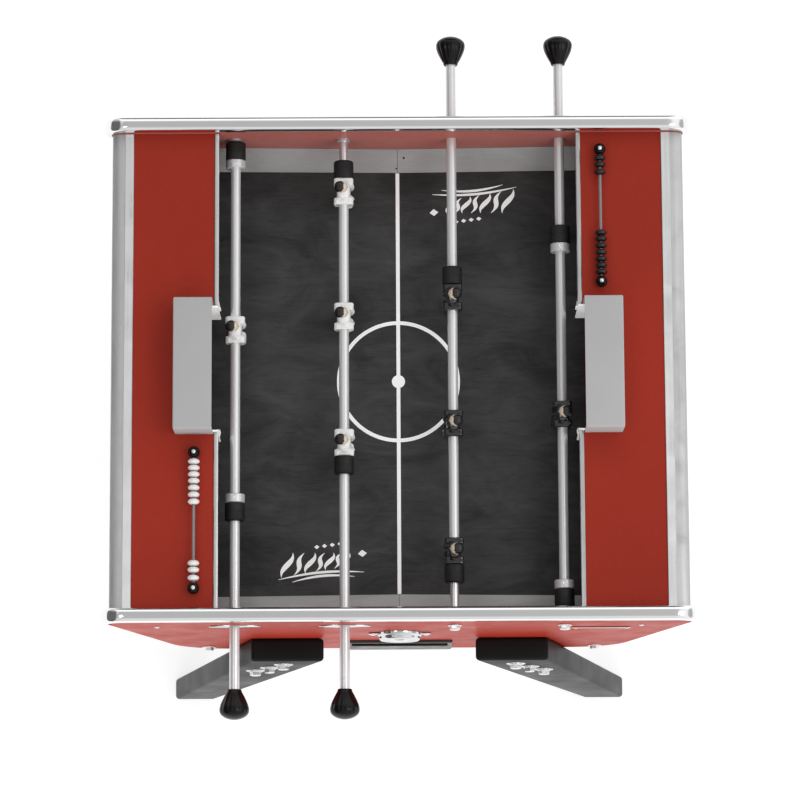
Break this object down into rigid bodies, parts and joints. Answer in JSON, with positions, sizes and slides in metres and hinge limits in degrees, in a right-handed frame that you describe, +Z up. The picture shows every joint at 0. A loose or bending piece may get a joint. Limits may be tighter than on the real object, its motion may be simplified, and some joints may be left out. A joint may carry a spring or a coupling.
{
  "type": "foosball table",
  "caption": "Compact two-player foosball table with telescopic rods, hull-shaped cabinet, goal hoods, bead scorers, ball tray and splayed legs.",
  "frame": {"origin": "on the floor under the middle of the pitch", "axes": "+X along the table towards the right goal, +Y across it towards the far player, +Z up"},
  "size_m": [0.9398, 1.108, 0.9413],
  "materials": {
    "red_laminate": "satin red laminate on board",
    "aluminium": "anodised, satin",
    "chrome": "polished",
    "steel": "drawn bar, bright",
    "steel_wire": "bright wire with black ball posts",
    "pitch": "matte dark grained print",
    "ramp_grey": "matte grey",
    "hood_grey": "satin light grey",
    "board": "dark board",
    "black_plastic": "glossy black",
    "rubber": "matte black",
    "leg_black": "board with a matte dark grey lacquer",
    "white_paint": "glossy white",
    "black_paint": "glossy black"
  },
  "bodies": {
    "cabinet": {"side_panel_near": "red_laminate", "top_rail_near": "chrome", "side_ramp_near": "ramp_grey", "side_panel_far": "red_laminate", "top_rail_far": "chrome", "side_ramp_far": "ramp_grey", "end_panel_left": "red_laminate", "end_deck_left": "red_laminate", "end_nosing_left": "aluminium", "goal_hood_left": "hood_grey", "goal_wall_left": "board", "goal_trim_left": "aluminium", "scorer_frame_left": "steel_wire", "end_panel_right": "red_laminate", "end_deck_right": "red_laminate", "end_nosing_right": "aluminium", "goal_hood_right": "hood_grey", "goal_wall_right": "board", "goal_trim_right": "aluminium", "scorer_frame_right": "steel_wire", "cabinet_floor": "board", "playfield": "pitch", "leg_near_left": "leg_black", "leg_near_right": "leg_black", "leg_far_left": "leg_black", "leg_far_right": "leg_black", "ball_tray": "black_plastic", "service_cup": "chrome", "inner_bar_white_keeper": "steel", "inner_bar_white_attack": "steel", "inner_bar_black_attack": "steel", "inner_bar_black_keeper": "steel"},
    "bumpers_white_keeper": {"bumper_white_keeper_far": "rubber", "bumper_white_keeper_near": "rubber"},
    "rod_white_keeper": {"rod_tube_white_keeper": "chrome", "knob_white_keeper": "black_plastic", "player_white_keeper": "white_paint"},
    "bumpers_white_attack": {"bumper_white_attack_far": "rubber", "bumper_white_attack_near": "rubber"},
    "rod_white_attack": {"rod_tube_white_attack": "chrome", "knob_white_attack": "black_plastic", "player_white_attack_far": "white_paint", "player_white_attack_middle": "white_paint", "player_white_attack_near": "white_paint"},
    "bumpers_black_attack": {"bumper_black_attack_far": "rubber", "bumper_black_attack_near": "rubber"},
    "rod_black_attack": {"rod_tube_black_attack": "chrome", "knob_black_attack": "black_plastic", "player_black_attack_far": "black_paint", "player_black_attack_middle": "black_paint", "player_black_attack_near": "black_paint"},
    "bumpers_black_keeper": {"bumper_black_keeper_far": "rubber", "bumper_black_keeper_near": "rubber"},
    "rod_black_keeper": {"rod_tube_black_keeper": "chrome", "knob_black_keeper": "black_plastic", "player_black_keeper": "black_paint"},
    "beads_spare_left": {"beads_spare_left": "white_paint"},
    "beads_scored_left": {"beads_scored_left": "white_paint"},
    "beads_spare_right": {"beads_spare_right": "black_paint"},
    "beads_scored_right": {"beads_scored_right": "black_paint"}
  },
  "joints": [
    {"name": "white_keeper_slide", "type": "slide", "parent": "cabinet", "child": "bumpers_white_keeper", "axis": [0, 1, 0], "range_m": [-0.14, 0.0003]},
    {"name": "white_keeper_spin", "type": "hinge", "parent": "bumpers_white_keeper", "child": "rod_white_keeper", "pos_m": [-0.261, 0, 0.843], "axis": [0, 1, 0], "continuous": true},
    {"name": "white_attack_slide", "type": "slide", "parent": "cabinet", "child": "bumpers_white_attack", "axis": [0, 1, 0], "range_m": [-0.2145, 0.032]},
    {"name": "white_attack_spin", "type": "hinge", "parent": "bumpers_white_attack", "child": "rod_white_attack", "pos_m": [-0.087, 0, 0.843], "axis": [0, 1, 0], "continuous": true},
    {"name": "black_attack_slide", "type": "slide", "parent": "cabinet", "child": "bumpers_black_attack", "axis": [0, 1, 0], "range_m": [-0.0395, 0.207]},
    {"name": "black_attack_spin", "type": "hinge", "parent": "bumpers_black_attack", "child": "rod_black_attack", "pos_m": [0.087, 0, 0.843], "axis": [0, 1, 0], "continuous": true},
    {"name": "black_keeper_slide", "type": "slide", "parent": "cabinet", "child": "bumpers_black_keeper", "axis": [0, 1, 0], "range_m": [-0.0003, 0.14]},
    {"name": "black_keeper_spin", "type": "hinge", "parent": "bumpers_black_keeper", "child": "rod_black_keeper", "pos_m": [0.261, 0, 0.843], "axis": [0, 1, 0], "continuous": true},
    {"name": "beads_spare_left_slide", "type": "slide", "parent": "cabinet", "child": "beads_spare_left", "axis": [0, 1, 0], "range_m": [-0.087, 0]},
    {"name": "beads_scored_left_slide", "type": "slide", "parent": "cabinet", "child": "beads_scored_left", "axis": [0, 1, 0], "range_m": [0, 0.087]},
    {"name": "beads_spare_right_slide", "type": "slide", "parent": "cabinet", "child": "beads_spare_right", "axis": [0, 1, 0], "range_m": [0, 0.087]},
    {"name": "beads_scored_right_slide", "type": "slide", "parent": "cabinet", "child": "beads_scored_right", "axis": [0, 1, 0], "range_m": [-0.087, 0]}
  ]
}
